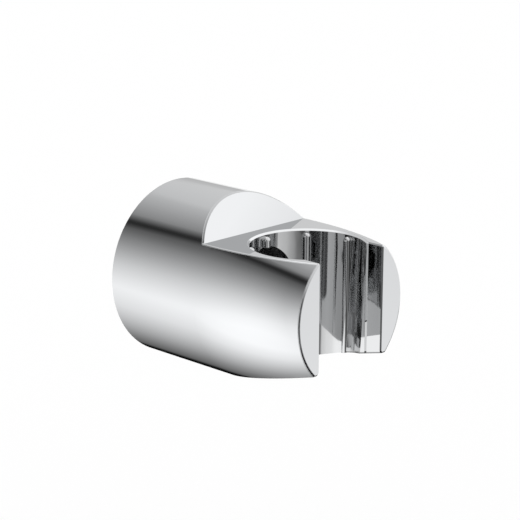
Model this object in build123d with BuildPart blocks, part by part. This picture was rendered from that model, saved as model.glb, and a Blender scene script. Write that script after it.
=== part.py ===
import os
from math import radians, sqrt, tan

from build123d import *

os.makedirs("parts", exist_ok=True)

# Hand shower holder, in millimetres and degrees.
# The wall is the plane Y = 0. The holder stands out along -Y on the Y axis, and +Z is up.

# Outer form of the moulding
body_diameter = 43.0  # straight cylinder at the wall end
body_length = 56.4  # wall to front face
barrel_length = 27.8  # front stretch that narrows
barrel_sweep = 4.2  # how far the barrel comes in, on the radius
ledge_drop = 8.2  # top of the body down to the level ledge
ledge_back = 3.33  # ledge left between the socket and the foot of the step face
step_lean = 37.0  # lean of the step face towards the wall, from upright
underside_lift = 9.2  # bottom of the body up to the underside plane at the front face
underside_slope = 14.2  # rise of the underside towards the front

# Socket for the hose cone
socket_setback = 13.25  # front face to the socket's axis
socket_taper = 2.0  # half angle, narrowing downwards
lip_wall = 0.7  # between socket and barrel at the underside
tip_land = 0.65  # ledge left beside the slot at the front face
rib_count = 5
rib_pitch = 46.0  # angle between neighbouring ribs, the middle one towards the wall
rib_radius = 1.0
rib_proud = 1.35  # how far a rib stands out of the socket wall at the ledge
rib_drop = 0.8  # ledge to the top of a rib

# Thin walls behind the visible faces
shell_wall = 2.4
socket_wall = 2.4
nose_depth = 12.0  # solid front, from the front face to the end of the hollow
web_count = 3
web_thickness = 1.6
wall_recess = 0.4  # boss and webs stay this far short of the wall

# Screw boss
access_diameter = 13.3
access_height = 3.5  # access hole above the body's axis
boss_wall = 1.8
seat_thickness = 3.6

# Wall screw and washer
screw_diameter = 4.5
screw_length = 25.0
screw_point = 5.0
neck_diameter = 3.4  # plain neck under the head, up to the wall plane
head_diameter = 9.0
head_height = 3.2
head_round = 2.0
recess_width = 1.3  # cross recess
recess_span = 4.2
recess_depth = 1.9
recess_taper = 6.0
washer_diameter = 11.5
washer_thickness = 1.0
screw_clearance = 0.25  # radial, in the seat and in the washer

# Edges
edge_bevel = 0.3  # ledge, step face, fronts and slot
rim_bevel = 0.45  # top rim of the socket
edge_radius = 0.3  # outer edges of the underside
corner_radius = 0.8  # lower edges of the slot
back_edge = 0.3  # chamfer round the wall face

# Values that follow
body_radius = body_diameter / 2
front_radius = body_radius - barrel_sweep
ledge_height = body_radius - ledge_drop
front_y = -body_length
barrel_y = front_y + barrel_length
socket_y = front_y + socket_setback
beyond = body_radius  # how far cutting shapes reach past the body
barrel_arc = (barrel_length**2 + barrel_sweep**2) / (2 * barrel_sweep)
barrel_centre = body_radius - barrel_arc
seat_y = -wall_recess - seat_thickness
head_y = seat_y - washer_thickness
slope = tan(radians(underside_slope))
taper = tan(radians(socket_taper))
slot_width = 2 * (sqrt(front_radius**2 - ledge_height**2) - tip_land)


def underside_at(y):
    return underside_lift - body_radius - (y - front_y) * slope


# The socket is as wide as the barrel allows where the underside passes the socket's axis
lip_z = underside_at(socket_y)
lip_barrel_radius = barrel_centre + sqrt(barrel_arc**2 - (barrel_y - socket_y) ** 2)
lip_radius = sqrt(lip_barrel_radius**2 - lip_z**2) - lip_wall


def socket_radius_at(z):
    return lip_radius + (z - lip_z) * taper


socket_radius = socket_radius_at(ledge_height)
foot_y = socket_y + socket_radius + ledge_back

# Side view of what is cut off above the ledge and in front of the step face
with BuildSketch(Plane.YZ) as top_cut:
    with BuildLine():
        Polyline(
            (front_y - beyond, ledge_height),
            (foot_y, ledge_height),
            (foot_y + (body_radius + beyond - ledge_height) * tan(radians(step_lean)), body_radius + beyond),
            (front_y - beyond, body_radius + beyond),
            close=True,
        )
    make_face()

# Side view of what is cut off under the inclined underside
with BuildSketch(Plane.YZ) as underside_cut:
    with BuildLine():
        Polyline(
            (front_y - beyond, underside_at(front_y - beyond)),
            (0, underside_at(0)),
            (0, -body_radius - 2 * beyond),
            (front_y - beyond, -body_radius - 2 * beyond),
            close=True,
        )
    make_face()

# Hollow that is open to the wall, with the boss and its webs left standing in it
inner_radius = body_radius - shell_wall
inner_arc = barrel_arc - shell_wall
hollow_y = front_y + nose_depth
hollow_nose = barrel_centre + sqrt(inner_arc**2 - (barrel_y - hollow_y) ** 2)
boss_radius = access_diameter / 2 + boss_wall
with BuildPart() as hollow:
    with BuildSketch(Plane.YZ):
        with BuildLine():
            mouth = Line((0, 0), (0, inner_radius))
            tube = Line(mouth @ 1, (barrel_y, inner_radius))
            nose = TangentArc(tube @ 1, (hollow_y, hollow_nose), tangent=tube % 1)
            Polyline(nose @ 1, (hollow_y, 0), (0, 0))
        make_face()
    revolve(axis=Axis.Y)
    with BuildSketch(Plane.YZ) as under_ledge:
        add(top_cut.sketch_local)
        offset(amount=shell_wall, kind=Kind.INTERSECTION)
    extrude(amount=body_diameter, both=True, mode=Mode.SUBTRACT)
    with BuildSketch(Plane.YZ) as over_underside:
        add(underside_cut.sketch_local)
        offset(amount=shell_wall, kind=Kind.INTERSECTION)
    extrude(amount=body_diameter, both=True, mode=Mode.SUBTRACT)
    with BuildSketch(Plane.XY) as around_socket:
        with Locations((0, socket_y)):
            Circle(socket_radius + socket_wall)
        with Locations((0, socket_y - beyond)):
            Rectangle(2 * (socket_radius + socket_wall), 2 * beyond)
    extrude(amount=body_diameter, both=True, mode=Mode.SUBTRACT)
    with BuildSketch(Plane.XZ.offset(wall_recess)):
        with Locations((0, access_height)):
            Circle(boss_radius)
            with PolarLocations(body_radius, web_count, start_angle=270):
                Rectangle(2 * body_radius, web_thickness)
    extrude(amount=body_length, mode=Mode.SUBTRACT)

# One socket rib: an upright round bar with a ball end at the top, which the narrowing wall takes in towards the bottom
rib_y = socket_y + socket_radius - rib_proud + rib_radius
rib_top = ledge_height - rib_drop - rib_radius
with BuildPart() as rib:
    with BuildSketch(Plane.XY.offset(rib_top)):
        with Locations((0, rib_y)):
            Circle(rib_radius)
    extrude(amount=-body_diameter)
    with Locations((0, rib_y, rib_top)):
        Sphere(rib_radius)

# The socket as a void: a cone with the ribs taken out of it
with BuildPart() as socket:
    with BuildSketch(Plane.YZ):
        with BuildLine():
            Polyline(
                (socket_y, -body_radius - beyond),
                (socket_y + socket_radius_at(-body_radius - beyond), -body_radius - beyond),
                (socket_y + socket_radius_at(body_radius), body_radius),
                (socket_y, body_radius),
                close=True,
            )
        make_face()
    revolve(axis=Axis((0, socket_y, 0), (0, 0, 1)))
    for place in range(rib_count):
        turn = (place - (rib_count - 1) / 2) * rib_pitch
        add(rib.part.rotate(Axis((0, socket_y, 0), (0, 0, 1)), turn), mode=Mode.SUBTRACT)

with BuildPart() as holder_body:
    with BuildSketch(Plane.YZ):
        with BuildLine():
            back = Line((0, 0), (0, body_radius))
            straight = Line(back @ 1, (barrel_y, body_radius))
            barrel = TangentArc(straight @ 1, (front_y, front_radius), tangent=straight % 1)
            Polyline(barrel @ 1, (front_y, 0), (0, 0))
        make_face()
    revolve(axis=Axis.Y)
    # ledge, step face and underside
    extrude(top_cut.sketch, amount=body_diameter, both=True, mode=Mode.SUBTRACT)
    extrude(underside_cut.sketch, amount=body_diameter, both=True, mode=Mode.SUBTRACT)
    # slot and socket
    with BuildSketch(Plane.XY):
        with Locations((0, (front_y + socket_y - beyond) / 2)):
            Rectangle(slot_width, socket_y - front_y + beyond)
    extrude(amount=body_diameter, both=True, mode=Mode.SUBTRACT)
    add(socket.part, mode=Mode.SUBTRACT)

    # rounded lower edges of the slot
    underside = holder_body.faces().filter_by(GeomType.PLANE).sort_by(Axis.Z)[0]
    slot_feet = underside.edges().filter_by(GeomType.LINE).group_by(Axis.Y)[-1]
    fillet(slot_feet, radius=corner_radius)
    # flat bevels round the ledge, step face, fronts and where the slot meets the socket, but not at the foot of the step
    planes = holder_body.faces().filter_by(GeomType.PLANE)
    ledge = planes.filter_by(Plane.XY).sort_by(Axis.Z)[-1]
    step_face = planes.sort_by(Axis.Z)[-1]
    fronts = planes.filter_by(Plane.XZ).group_by(Axis.Y)[0]
    foot = ledge.edges().filter_by(GeomType.LINE).sort_by(Axis.Y)[-1]
    rim = ledge.edges().filter_by(GeomType.CIRCLE).sort_by(SortBy.RADIUS)[0]
    bevelled = ledge.edges() + step_face.edges() + fronts.edges() + holder_body.edges().filter_by(GeomType.HYPERBOLA)
    chamfer([edge for edge in set(bevelled) if edge not in (foot, rim)], length=edge_bevel)
    # a wider bevel round the socket's rim
    ledge = holder_body.faces().filter_by(Plane.XY).sort_by(Axis.Z)[-1]
    chamfer(ledge.edges().filter_by(GeomType.CIRCLE).sort_by(SortBy.RADIUS)[0], length=rim_bevel)
    # outer edges of the underside
    underside = holder_body.faces().filter_by(GeomType.PLANE).sort_by(Axis.Z)[0]
    fillet(underside.edges().sort_by(SortBy.LENGTH)[-3:], radius=edge_radius)
    # wall face
    chamfer(holder_body.edges().filter_by(GeomType.CIRCLE).sort_by(Axis.Y)[-1], length=back_edge)
    # hollow back with its boss, access hole and screw seat
    add(hollow.part, mode=Mode.SUBTRACT)
    with BuildSketch(Plane.XZ.offset(-seat_y)):
        with Locations((0, access_height)):
            Circle(access_diameter / 2)
    extrude(amount=seat_y - socket_y, mode=Mode.SUBTRACT)
    with BuildSketch(Plane.XZ):
        with Locations((0, access_height)):
            Circle(screw_diameter / 2 + screw_clearance)
    extrude(amount=-head_y, mode=Mode.SUBTRACT)

# Flat washer on the seat
with BuildPart() as screw_washer:
    with BuildSketch(Plane.XZ.offset(-seat_y)):
        with Locations((0, access_height)):
            Circle(washer_diameter / 2)
            Circle(screw_diameter / 2 + screw_clearance, mode=Mode.SUBTRACT)
    extrude(amount=washer_thickness)

# Pan head tapping screw with a cross recess, standing out behind the wall plane
with BuildPart() as wall_screw:
    with BuildSketch(Plane.XZ.offset(-head_y)):
        with Locations((0, access_height)):
            Circle(head_diameter / 2)
    extrude(amount=head_height)
    fillet(wall_screw.edges().filter_by(GeomType.CIRCLE).sort_by(Axis.Y)[0], radius=head_round)
    with BuildSketch(Plane.XZ.offset(head_height - head_y)):
        with Locations((0, access_height)):
            Rectangle(recess_span, recess_width)
            Rectangle(recess_width, recess_span)
    extrude(amount=-recess_depth, taper=recess_taper, mode=Mode.SUBTRACT)
    with BuildSketch(Plane.YZ):
        with BuildLine():
            Polyline(
                (head_y, access_height),
                (head_y, access_height + neck_diameter / 2),
                (0, access_height + neck_diameter / 2),
                (0, access_height + screw_diameter / 2),
                (head_y + screw_length - screw_point, access_height + screw_diameter / 2),
                (head_y + screw_length, access_height),
                close=True,
            )
        make_face()
    revolve(axis=Axis((0, 0, access_height), (0, 1, 0)))

holder_body.part.label = "holder_body"
screw_washer.part.label = "screw_washer"
wall_screw.part.label = "wall_screw"
export_step(holder_body.part, "parts/holder_body.step")
export_step(screw_washer.part, "parts/screw_washer.step")
export_step(wall_screw.part, "parts/wall_screw.step")
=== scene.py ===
from math import cos, pi, radians, sin

import bpy
from mathutils import Matrix, Vector


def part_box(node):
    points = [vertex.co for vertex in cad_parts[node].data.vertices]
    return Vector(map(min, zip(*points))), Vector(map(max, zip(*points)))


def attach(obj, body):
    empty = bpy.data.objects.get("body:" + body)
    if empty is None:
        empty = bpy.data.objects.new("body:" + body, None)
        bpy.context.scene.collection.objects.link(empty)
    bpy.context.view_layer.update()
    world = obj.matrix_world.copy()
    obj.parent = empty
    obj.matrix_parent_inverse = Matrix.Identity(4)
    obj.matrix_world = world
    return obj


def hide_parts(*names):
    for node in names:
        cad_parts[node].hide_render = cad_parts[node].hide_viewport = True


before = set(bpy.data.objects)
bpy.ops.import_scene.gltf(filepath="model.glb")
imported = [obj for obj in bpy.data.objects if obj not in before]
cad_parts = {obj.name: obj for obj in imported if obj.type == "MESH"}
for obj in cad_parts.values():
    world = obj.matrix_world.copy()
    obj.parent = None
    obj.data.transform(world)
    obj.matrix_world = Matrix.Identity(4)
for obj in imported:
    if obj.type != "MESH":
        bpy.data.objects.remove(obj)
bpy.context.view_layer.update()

MM = 0.001

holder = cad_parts["holder_body"]
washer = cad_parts["screw_washer"]
holder_low, holder_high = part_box("holder_body")

# Lengths of the holder that its finish depends on, in millimetres
front = holder_low.y / MM  # front face, counted from the wall
body_radius = holder_high.z / MM
wall_thickness = 2.4
nose_depth = 12.0  # solid front, before the hollow begins
socket_axis = front + 13.25
socket_radius = 13.34
ledge_height = 13.3
ledge_length = 29.92
step_lean = 37.0  # degrees
underside_drop = 12.3
underside_slope = 14.2  # degrees
barrel_length = 27.8  # front stretch that narrows
barrel_sweep = 4.2  # how far the barrel comes in, on the radius
edge_bevel = 0.3
rim_bevel = 0.45
slot_width = 20.8
access_radius = 6.65
access_height = 3.5  # access hole above the body's axis
seat_depth = 4.0  # wall plane to the washer's seat, where the access hole ends
facet_play = 0.04  # how deep the flats of the round skin lie

# Camera of the photograph
view_azimuth = -45.98  # degrees, from straight in front of the holder
view_elevation = 15.52
view_roll = 0.13
view_distance = 390.8
view_lens = 115.7
view_frame = 36.0  # width of the frame that the lens is given for
aim_depth = 28.2  # from the wall to the point that the camera looks at
aim_rise = 6.3
aim_side = -0.1

floor_depth = 130.0  # floor below the holder's axis
floor_size = 20000.0
floor_colour = (0.96, 0.96, 0.96, 1)


# ---- Shader maths -------------------------------------------------------------------------------


class Signal:
    """A socket of a node tree that takes part in Python expressions."""

    def __init__(self, tree, socket):
        self.tree = tree
        self.socket = socket

    def math(self, operation, *others):
        return self.tree.node("ShaderNodeMath", {"operation": operation}, [self, *others])

    def __add__(self, other):
        return self.math("ADD", other)

    def __mul__(self, other):
        return self.math("MULTIPLY", other)

    def __sub__(self, other):
        return self.math("SUBTRACT", other)

    def __rsub__(self, other):
        return self.tree.node("ShaderNodeMath", {"operation": "SUBTRACT"}, [other, self])

    def __neg__(self):
        return 0 - self

    def __truediv__(self, other):
        return self.math("DIVIDE", other)

    def __pow__(self, other):
        return self.math("POWER", other)

    __radd__ = __add__
    __rmul__ = __mul__

    def mixed(self, other, share):
        """This signal where share is 0, the other where it is 1."""
        return self * (1 - share) + other * share

    def least(self, other):
        return self.math("MINIMUM", other)

    def most(self, other):
        return self.math("MAXIMUM", other)

    def between(self, low, high):
        """0 below low, 1 above high and a straight rise from one to the other."""
        return self.tree.node(
            "ShaderNodeMapRange",
            {"interpolation_type": "LINEAR", "clamp": True},
            {"Value": self, "From Min": low, "From Max": high},
        )

    def past(self, limit, blur):
        """0 before the limit and 1 past it, with a blur on both sides of it."""
        return self.between(limit - blur, limit + blur)

    def held(self, low, high):
        """How far this signal is above low, up to high."""
        return self.most(low).least(high) - low

    def ramp(self, stops):
        """Screen tones from 0 to 255, as shares of 1, at places from 0 to 1."""
        return self.tree.node("ShaderNodeValToRGB", {"stops": stops}, {"Fac": self})


class Tree:
    """The nodes of one material or world."""

    def __init__(self, owner):
        owner.use_nodes = True
        self.nodes = owner.node_tree.nodes
        self.links = owner.node_tree.links
        self.nodes.clear()

    def node(self, kind, settings=None, sockets=None, output=0):
        """A new node: its settings first, then what its sockets hold or are linked to, by name or in order. It gives
        the output of that name or number back, and a list of them for a tuple."""
        made = self.nodes.new(kind)
        for name, value in (settings or {}).items():
            if name == "stops":
                self._stops(made.color_ramp, value)
            else:
                setattr(made, name, value)
        pairs = enumerate(sockets) if isinstance(sockets, list) else (sockets or {}).items()
        for key, value in pairs:
            if isinstance(value, Signal):
                self.links.new(value.socket, made.inputs[key])
            else:
                made.inputs[key].default_value = value
        if isinstance(output, tuple):
            return [Signal(self, made.outputs[key]) for key in output]
        return Signal(self, made.outputs[output]) if len(made.outputs) else None

    @staticmethod
    def _stops(ramp, stops):
        while len(ramp.elements) < len(stops):
            ramp.elements.new(1.0)
        for element, (place, tone) in zip(ramp.elements, stops):
            element.position = place
            element.color = (tone / 255, tone / 255, tone / 255, 1)

    def split(self, vector):
        """x, y and z of a vector."""
        return self.node("ShaderNodeSeparateXYZ", sockets=[vector], output=(0, 1, 2))

    def noise(self, vector, scale, detail, roughness=0.5):
        sockets = {"Vector": vector, "Scale": scale, "Detail": detail, "Roughness": roughness}
        return self.node("ShaderNodeTexNoise", sockets=sockets)

    def mix(self, share, first, second):
        """The first colour where share is 0, the second where it is 1."""
        return self.node("ShaderNodeMix", {"data_type": "RGBA"}, {"Factor": share, "A": first, "B": second}, output=2)

    def bump(self, strength, distance, height):
        return self.node("ShaderNodeBump", sockets={"Strength": strength, "Distance": distance, "Height": height})

    def metal(self, colour, metallic, roughness, normal):
        surface = self.node(
            "ShaderNodeBsdfPrincipled",
            sockets={"Base Color": colour, "Metallic": metallic, "Roughness": roughness, "Normal": normal},
        )
        self.node("ShaderNodeOutputMaterial", sockets={"Surface": surface})


def reach(across, up):
    """The straight distance that two steps at a right angle make."""
    return (across * across + up * up).math("SQRT")


# ---- Finishes -----------------------------------------------------------------------------------

chrome_colour = (0.612, 0.62, 0.63, 1)
# The darker colour: thin dull plating in the hollow back, and painted shade inside the socket and slot
dull_and_shade_colour = (0.56, 0.565, 0.57, 1)
hollow_dullness = 0.8  # share of the dull colour
# Painted shade: share of the darker colour inside the socket and slot
socket_painted_shade = 0.9
haze_dullness = 0.02
hollow_bareness = 0.55  # how much metal the thin plating of the hollow lacks

chrome_roughness = 0.015
haze_roughness = 0.02
socket_roughness = 0.035
hollow_roughness = 0.28
frost_roughness = 0.12

# Heights and places, in millimetres
swell_height = 0.003
frost_height = 0.004
soft_edge = 0.05  # half the stretch in which one finish turns into the next
hollow_lead = 0.55  # the dull plating begins this far before the hollow
socket_finish_depth = 0.5  # the socket's painted shade and rougher finish begin this far under the outer skin
slot_play = 0.075  # the slot's painted shade ends this far outside its walls
access_play = 0.3  # the hollow's plating begins to thin this far outside the access hole

# Soft turns at the bevels, as stretches of the depth under the skin: where each ends, and its slope. All of them rise
# to the same height, so that no line shows where one takes over from another.
side_turn = [(edge_bevel, 1.0)]
front_turn = [(0.11, 1.0), (0.29, 0.24), (0.45, 0.917)]
ledge_turn = [(0.1, 1.0), (0.24, -0.35), (edge_bevel, 4.15)]
ledge_band = (-0.55, 0.1)  # from the ledge, downwards and upwards
front_band = (1.2 * edge_bevel, 1.5 * edge_bevel)  # where the front's turn gives way to the side's
rim_turn = (0.03, rim_bevel - 0.02)  # outwards from the socket's wall
rim_depth = 0.1  # the rim's turn begins this far under the outer skin
rim_slope = 0.72

screw_tone = 0.62
washer_tone = 0.58
turned_marks = (900, 5200, 900)  # fine along the screw's axis
stamped_marks = (2600, 2600, 2600)
marks_depth = 0.1  # millimetres
marks_strength = 0.3
steel_roughness = 0.24
grain_roughness = 0.16
patch_roughness = 0.08


def hollow_back(x, y, z):
    """1 in the hollow: behind the nose, and half a wall inside every outer face."""
    half, blur = wall_thickness / 2, wall_thickness / 20
    lean, slope = radians(step_lean), radians(underside_slope)
    in_round = 1 - reach(x, z).past(body_radius - 1.5 * half, blur)
    behind_nose = y.past(front + nose_depth - hollow_lead, soft_edge)
    under_ledge = 1 - z.past(ledge_height - half, blur)
    past_step = ((y - (front + ledge_length)) * cos(lean) - (z - ledge_height) * sin(lean)).past(half, blur)
    over_underside = ((z + underside_drop) * cos(slope) + (y - front) * sin(slope)).past(half, blur)
    round_socket = reach(x, y - socket_axis).past(socket_radius + half, blur)
    return in_round * behind_nose * under_ledge.most(past_step) * over_underside * round_socket


def depth_under_skin(x, y, z):
    """How far a place lies inside the round and barrel shaped outer skin."""
    arc_radius = (barrel_length**2 + barrel_sweep**2) / (2 * barrel_sweep)
    run = (front + barrel_length - y).most(0.0)
    skin = (arc_radius**2 - run * run).math("SQRT") + (body_radius - arc_radius)
    return skin - reach(x, z)


def turn_height(depth, stretches):
    """The height of a soft turn at this depth under the skin."""
    starts = [facet_play] + [end for end, slope in stretches]
    return sum(slope * depth.held(start, end) for start, (end, slope) in zip(starts, stretches))


def bevel_relief(y, z, to_socket, depth):
    """A relief no wider than the bevels, which turns their reflections softly into the faces beside them."""
    lowest, highest = ledge_band
    at_ledge = z.past(ledge_height + lowest, soft_edge) * (1 - z.past(ledge_height + highest, soft_edge))
    at_front = 1 - (y - front).between(*front_band)
    side, ledge, nose = (turn_height(depth, stretches) for stretches in (side_turn, ledge_turn, front_turn))
    start, end = rim_turn
    past_rim = to_socket.held(socket_radius + start, socket_radius + end)
    rim = (end - start - past_rim) * depth.between(rim_depth, edge_bevel)
    return side.mixed(ledge, at_ledge).mixed(nose, at_front) + rim_slope * rim


def chrome_plating():
    """Mirror chrome outside, the thin dull plating that the hollow back gets, and painted shade inside the socket and
    slot.
    """
    material = bpy.data.materials.new("chrome_plating")
    tree = Tree(material)
    place = tree.node("ShaderNodeTexCoord", output="Object")
    x, y, z = (step * (1 / MM) for step in tree.split(place))
    haze = tree.noise(place, scale=90.0, detail=4.0, roughness=0.6)
    frost = tree.noise(place, scale=2600.0, detail=3.0)
    swell = tree.noise(place, scale=34.0, detail=1.0)

    hollow = hollow_back(x, y, z)
    depth = depth_under_skin(x, y, z)
    to_socket = reach(x, y - socket_axis)
    in_socket = (1 - to_socket.past(socket_radius + soft_edge, soft_edge)) * depth.past(socket_finish_depth, soft_edge)
    beside_slot = x.math("ABSOLUTE") - slot_width / 2
    in_slot = (1 - beside_slot.past(slot_play, soft_edge / 2)) * (1 - y.past(socket_axis - soft_edge, soft_edge))
    round_access = reach(x, z - access_height).past(access_radius + access_play, 2 * soft_edge)
    past_access = round_access.most(y.past(soft_edge - seat_depth, soft_edge))

    # Darker colour from the hollow's dull plating, a slight random haze, and painted shade inside the socket and slot
    dull_and_shade = hollow_dullness * hollow + haze_dullness * haze + socket_painted_shade * in_socket.most(in_slot)
    roughness = chrome_roughness + haze_roughness * haze + socket_roughness * in_socket
    relief = bevel_relief(y, z, to_socket, depth) + swell_height * swell + frost_height * hollow * frost
    tree.metal(
        colour=tree.mix(dull_and_shade, chrome_colour, dull_and_shade_colour),
        metallic=1 - hollow_bareness * hollow * past_access,
        roughness=roughness + hollow * (hollow_roughness + frost_roughness * frost),
        normal=tree.bump(1.0, MM, relief),
    )
    return material


def plain_steel(name, tone, marks):
    """Zinc plated steel: a soft sheen with fine marks, turned round the screw's axis or stamped flat."""
    material = bpy.data.materials.new(name)
    tree = Tree(material)
    place = tree.node("ShaderNodeTexCoord", output="Object")
    stretched = tree.node("ShaderNodeMapping", sockets={"Vector": place, "Scale": marks})
    grain = tree.noise(stretched, scale=1.0, detail=3.0)
    patches = tree.noise(place, scale=420.0, detail=2.0)
    bright = (tone, tone, tone * 1.02, 1)
    dark = (tone * 0.82, tone * 0.83, tone * 0.82, 1)
    tree.metal(
        colour=tree.mix(patches, bright, dark),
        metallic=1.0,
        roughness=steel_roughness + grain_roughness * grain + patch_roughness * patches,
        normal=tree.bump(marks_strength, marks_depth * MM, grain),
    )
    return material


def floor_paint():
    material = bpy.data.materials.new("floor_paint")
    tree = Tree(material)
    surface = tree.node("ShaderNodeBsdfDiffuse", sockets={"Color": floor_colour})
    tree.node("ShaderNodeOutputMaterial", sockets={"Surface": surface})
    return material


def dress(piece, material):
    piece.data.materials.clear()
    piece.data.materials.append(material)


# ---- Studio -------------------------------------------------------------------------------------
# A direction is a step of length 1 from the holder: x to the right, y into the wall and z up.

plating_tone = 0.62  # share of light that the chrome gives back
room_light = 1.04  # plain light on all that isn't a mirror
seam = (0.633, -0.281, 0.700)  # square to the dark seam, towards the ceiling
seam_shift = 0.003
ground_middle = 0.45  # y of the brightest ground
front_fade = 2.0  # how fast the ground darkens forwards from there
front_reach = 0.25  # and how far
side_fade = 1.4
level_tone = 205  # even patch low on the right
level_top = -0.32
level_side = 0.4
glow = 0.9  # how much the horizon brightens downwards
glow_band = (0.17, 0.47)
horizon_foot = -0.675  # dark under it
sky_band = (0.12, 0.45)  # where the horizon turns into the sky
sky_top = (0.563, 0.592)  # where the sky turns paler
sky_gain = 0.12
post_left = -0.17
post_right = 0.07
post_lean = 0.35
post_top = 0.6
post_darkness = 0.97


def as_light(share):
    """The light that plating gives back as this share of the screen's white."""
    return ((share + 0.055) / 1.055) ** 2.4 * (1 / plating_tone)


def lit(place, tones):
    """The light for screen tones that lie along the place."""
    return as_light(place.ramp(tones))


def room_behind(x, y, z):
    """By the distance from the seam, and darker to the right below it."""
    ceiling_tones = [
        (0, 41), (0.02, 52), (0.055, 84), (0.12, 130), (0.16, 139), (0.385, 175), (0.43, 188), (0.54, 196),
        (0.62, 240), (0.8, 240), (0.9, 190), (1, 186),
    ]
    ground_tones = [(0, 41), (0.02, 42), (0.1, 89), (0.25, 127), (0.6, 200), (0.85, 245), (0.95, 255)]
    across_tones = [(0, 255), (0.2, 250), (0.3, 231), (0.4, 201), (0.5, 167), (0.6, 128), (0.7, 90), (0.75, 8)]
    above_seam = x * seam[0] + y * seam[1] + z * seam[2] + seam_shift
    from_middle = y - ground_middle
    near_front = (-from_middle).held(0.0, front_reach)
    ground = lit(-above_seam, ground_tones) * (1 - front_fade * near_front * near_front)
    across = lit((x + 1) * 0.5, across_tones) * (1 - side_fade * from_middle * from_middle)
    level = z.past(level_top, 0.02) * x.past(level_side, 0.05)
    ground = ground.least(across).mixed(as_light(level_tone / 255), level)
    return ground.mixed(lit(above_seam, ceiling_tones), above_seam.math("GREATER_THAN", 0.0) * z.past(0.0, 0.02))


def room_in_front(x, y, z):
    """By the compass angle, 0 straight ahead and 90 to the right, under a paler sky and with a dark post."""
    horizon_tones = [
        (-180, 215), (-140, 250), (-112, 246), (-90, 224), (-78, 194), (-75.5, 106), (-62, 104), (-41, 90), (-34, 70),
        (-20, 147), (-5, 180), (15, 192), (50, 209), (75, 202), (90, 212), (105, 255), (125, 255), (150, 215),
    ]
    sky_tones = [(0, 170), (0.4, 205), (0.8, 241)]
    compass = x.math("ARCTAN2", -y) / (2 * pi) + 0.5
    horizon = lit(compass, [(angle / 360 + 0.5, tone) for angle, tone in horizon_tones])
    horizon = horizon * (1 + glow * (-z).held(*glow_band)) * z.past(horizon_foot, 0.075)
    sky = lit((x + 1) * 0.5, sky_tones) * (1 - sky_gain + sky_gain * z.between(*sky_top))
    across_view = x - y
    post = across_view.past(post_left, 0.02) * (1 - (across_view - post_lean * z.most(0.0)).past(post_right, 0.02))
    post = post * (1 - z.past(post_top, 0.05))
    return horizon.mixed(sky, z.between(*sky_band)) * (1 - post_darkness * post)


def studio():
    """A white room as metal sees it: a dark seam that leans over the holder, a soft fall of light on each side of it,
    and in front the dim part of the room between the windows. Everything else sees plain even light."""
    world = bpy.data.worlds.new("studio")
    bpy.context.scene.world = world
    tree = Tree(world)
    x, y, z = tree.split(tree.node("ShaderNodeTexCoord", output="Generated"))
    mirrored = room_behind(x, y, z).mixed(room_in_front(x, y, z), (-y).past(0.05, 0.1))
    camera_ray, glossy_ray = tree.node("ShaderNodeLightPath", output=("Is Camera Ray", "Is Glossy Ray"))
    plain = (1 - camera_ray) * (room_light - 1) + 1
    strength = plain.mixed(mirrored, glossy_ray)
    background = tree.node("ShaderNodeBackground", sockets={"Color": (1, 1, 1, 1), "Strength": strength})
    tree.node("ShaderNodeOutputWorld", sockets={"Surface": background})


def camera():
    azimuth, elevation, roll = radians(view_azimuth), radians(view_elevation), radians(view_roll)
    back = Vector((sin(azimuth) * cos(elevation), -cos(azimuth) * cos(elevation), sin(elevation)))
    level = Vector((cos(azimuth), sin(azimuth), 0))
    upright = back.cross(level)
    right = level * cos(roll) + upright * sin(roll)
    up = upright * cos(roll) - level * sin(roll)
    aim = Vector((0, -aim_depth, 0)) + right * aim_side + up * aim_rise
    data = bpy.data.cameras.new("camera")
    data.lens = view_lens
    data.sensor_width = view_frame
    data.clip_start = 0.01
    made = bpy.data.objects.new("camera", data)
    bpy.context.scene.collection.objects.link(made)
    turn = Matrix((right, up, back)).transposed()
    made.matrix_world = Matrix.Translation((aim + back * view_distance) * MM) @ turn.to_4x4()
    bpy.context.scene.camera = made


# ---- Modelling ----------------------------------------------------------------------------------

TO_WALL = 1
TO_ROOM = -1
END_FACING = 0.9  # share of a face's normal along Y that counts it to an end


def deselect():
    bpy.ops.object.select_all(action="DESELECT")


def select_end(piece, way):
    """Edit mode, with only the faces selected that look to the wall or to the room."""
    bpy.ops.object.mode_set(mode="EDIT")
    bpy.ops.mesh.select_mode(type="FACE")
    bpy.ops.mesh.select_all(action="DESELECT")
    bpy.ops.object.mode_set(mode="OBJECT")
    for face in piece.data.polygons:
        face.select = face.normal.y * way > END_FACING
    bpy.ops.object.mode_set(mode="EDIT")


def place_in_mesh(piece):
    bpy.ops.object.mode_set(mode="OBJECT")
    deselect()
    piece.select_set(True)
    bpy.context.view_layer.objects.active = piece
    bpy.ops.object.transform_apply(location=True, rotation=True, scale=True)


def bar_along_wall_axis(radius, start, end, axis, sides):
    """A round bar along Y, from start to end."""
    deselect()
    bpy.ops.mesh.primitive_cylinder_add(
        vertices=sides,
        radius=radius,
        depth=end - start,
        location=(axis.x, (start + end) / 2, axis.z),
        rotation=(pi / 2, 0, 0),
    )
    piece = bpy.context.object
    place_in_mesh(piece)
    return piece


def cut_away(piece, tool):
    """Takes the tool's shape out of the piece."""
    cut = piece.modifiers.new("recess", "BOOLEAN")
    cut.object = tool
    cut.operation = "DIFFERENCE"
    deselect()
    bpy.context.view_layer.objects.active = piece
    bpy.ops.object.modifier_apply(modifier=cut.name)
    bpy.data.objects.remove(tool)


def floor():
    deselect()
    bpy.ops.mesh.primitive_plane_add(size=floor_size * MM, location=(0, 0, -floor_depth * MM))
    plane = bpy.context.object
    plane.name = "floor"
    dress(plane, floor_paint())
    plane.visible_glossy = False


# ---- Wall screw ---------------------------------------------------------------------------------

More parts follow.
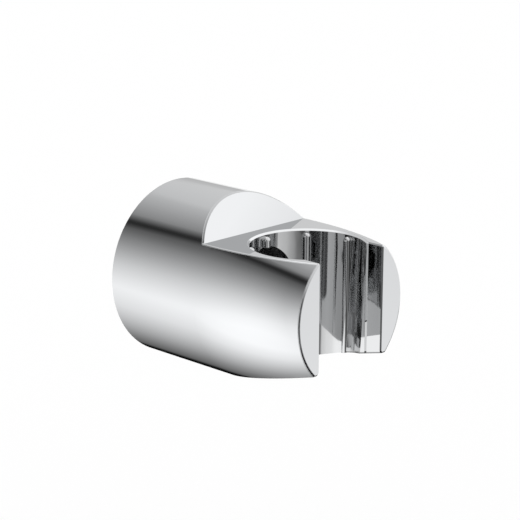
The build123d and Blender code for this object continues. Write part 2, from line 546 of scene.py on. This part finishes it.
screw_radius = 2.25
thread_pitch = 1.8
thread_turns = 10
thread_width = 0.75
thread_start = 0.8  # behind the wall plane
ridge_sink = 0.15  # how deep the ridge's foot lies in the core
core_radius = 1.6
neck_sink = 0.3  # how far the core reaches into the head
point_length = 5.0
point_reach = 0.92  # share of the point that is drawn out before it ends bluntly
point_share = 0.12  # of the core's radius
head_radius = 4.5
head_edge = 2.0  # rounding of the pan head
recess_span = 4.2
recess_width = 1.3
recess_depth = 1.9
recess_taper = 0.8  # share of the recess's size that its floor has
head_sides = 64
head_edge_steps = 8
core_sides = 32
thread_steps = 36  # in one turn
smooth_angle = 35  # degrees


def pan_head(axis, top, seat):
    """A short bar with its outer edge rounded, and with two crossed wedges taken out of it."""
    head = bar_along_wall_axis(head_radius * MM, top, seat, axis, head_sides)
    select_end(head, TO_ROOM)
    bpy.ops.mesh.bevel(offset=head_edge * MM, segments=head_edge_steps, affect="EDGES")
    place_in_mesh(head)
    for span, width in ((recess_span, recess_width), (recess_width, recess_span)):
        deselect()
        bpy.ops.mesh.primitive_cube_add(size=1, location=(axis.x, top, axis.z))
        wedge = bpy.context.object
        wedge.scale = (span * MM, 2 * recess_depth * MM, width * MM)
        place_in_mesh(wedge)
        select_end(wedge, TO_WALL)
        taper = (recess_taper, 1, recess_taper)
        bpy.ops.transform.resize(value=taper, center_override=(axis.x, top, axis.z))
        place_in_mesh(wedge)
        cut_away(head, wedge)
    return head


def pointed_core(axis, start, shank_end, tip):
    """Neck and shank in one bar, drawn to a point."""
    core = bar_along_wall_axis(core_radius * MM, start, shank_end, axis, core_sides)
    select_end(core, TO_WALL)
    drawn = (0, point_reach * point_length * MM, 0)
    bpy.ops.mesh.extrude_region_move(TRANSFORM_OT_translate={"value": drawn})
    bpy.ops.transform.resize(value=(point_share, 1, point_share), center_override=(axis.x, tip, axis.z))
    place_in_mesh(core)
    return core


def wound_thread(axis, shank_end, tip):
    """A three-cornered ridge wound round the core, running out on the point."""
    deselect()
    bpy.ops.mesh.primitive_circle_add(vertices=3, radius=1, fill_type="NOTHING", location=(0, 0, 0))
    ridge = bpy.context.object
    foot = core_radius - ridge_sink
    corners = [(foot, -thread_width / 2), (screw_radius, 0), (foot, thread_width / 2)]
    for vertex, (out, along) in zip(ridge.data.vertices, corners):
        vertex.co = (0, along * MM, out * MM)
    wind = ridge.modifiers.new("wind", "SCREW")
    wind.axis = "Y"
    wind.angle = 2 * pi
    wind.screw_offset = thread_pitch * MM
    wind.iterations = thread_turns
    wind.steps = wind.render_steps = thread_steps
    wind.use_normal_calculate = True
    bpy.ops.object.modifier_apply(modifier=wind.name)
    bpy.ops.object.mode_set(mode="EDIT")
    bpy.ops.mesh.select_all(action="SELECT")
    bpy.ops.mesh.fill_holes(sides=3)
    bpy.ops.mesh.normals_make_consistent(inside=False)
    bpy.ops.object.mode_set(mode="OBJECT")
    ridge.location = (axis.x, thread_start * MM, axis.z)
    place_in_mesh(ridge)
    for vertex in ridge.data.vertices:
        left = min(1.0, max(0.0, (tip - vertex.co.y) / (tip - shank_end)))
        vertex.co.x = axis.x + (vertex.co.x - axis.x) * left
        vertex.co.z = axis.z + (vertex.co.z - axis.z) * left
    return ridge


def threaded_screw():
    low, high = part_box("wall_screw")
    axis = (low + high) / 2
    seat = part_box("screw_washer")[0].y
    top, tip = low.y, high.y
    shank_end = tip - point_length * MM
    head = pan_head(axis, top, seat)
    core = pointed_core(axis, seat - neck_sink * MM, shank_end, tip)
    ridge = wound_thread(axis, shank_end, tip)

    deselect()
    for part in (head, core, ridge):
        part.select_set(True)
    bpy.context.view_layer.objects.active = head
    bpy.ops.object.join()
    screw = bpy.context.object
    screw.name = "threaded_wall_screw"
    bpy.ops.object.shade_smooth_by_angle(angle=radians(smooth_angle))
    dress(screw, plain_steel("screw_steel", screw_tone, turned_marks))
    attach(screw, "root")
    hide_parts("wall_screw")


camera()
studio()
floor()
threaded_screw()
dress(holder, chrome_plating())
dress(washer, plain_steel("washer_steel", washer_tone, stamped_marks))

bpy.context.scene.view_settings.view_transform = "Standard"
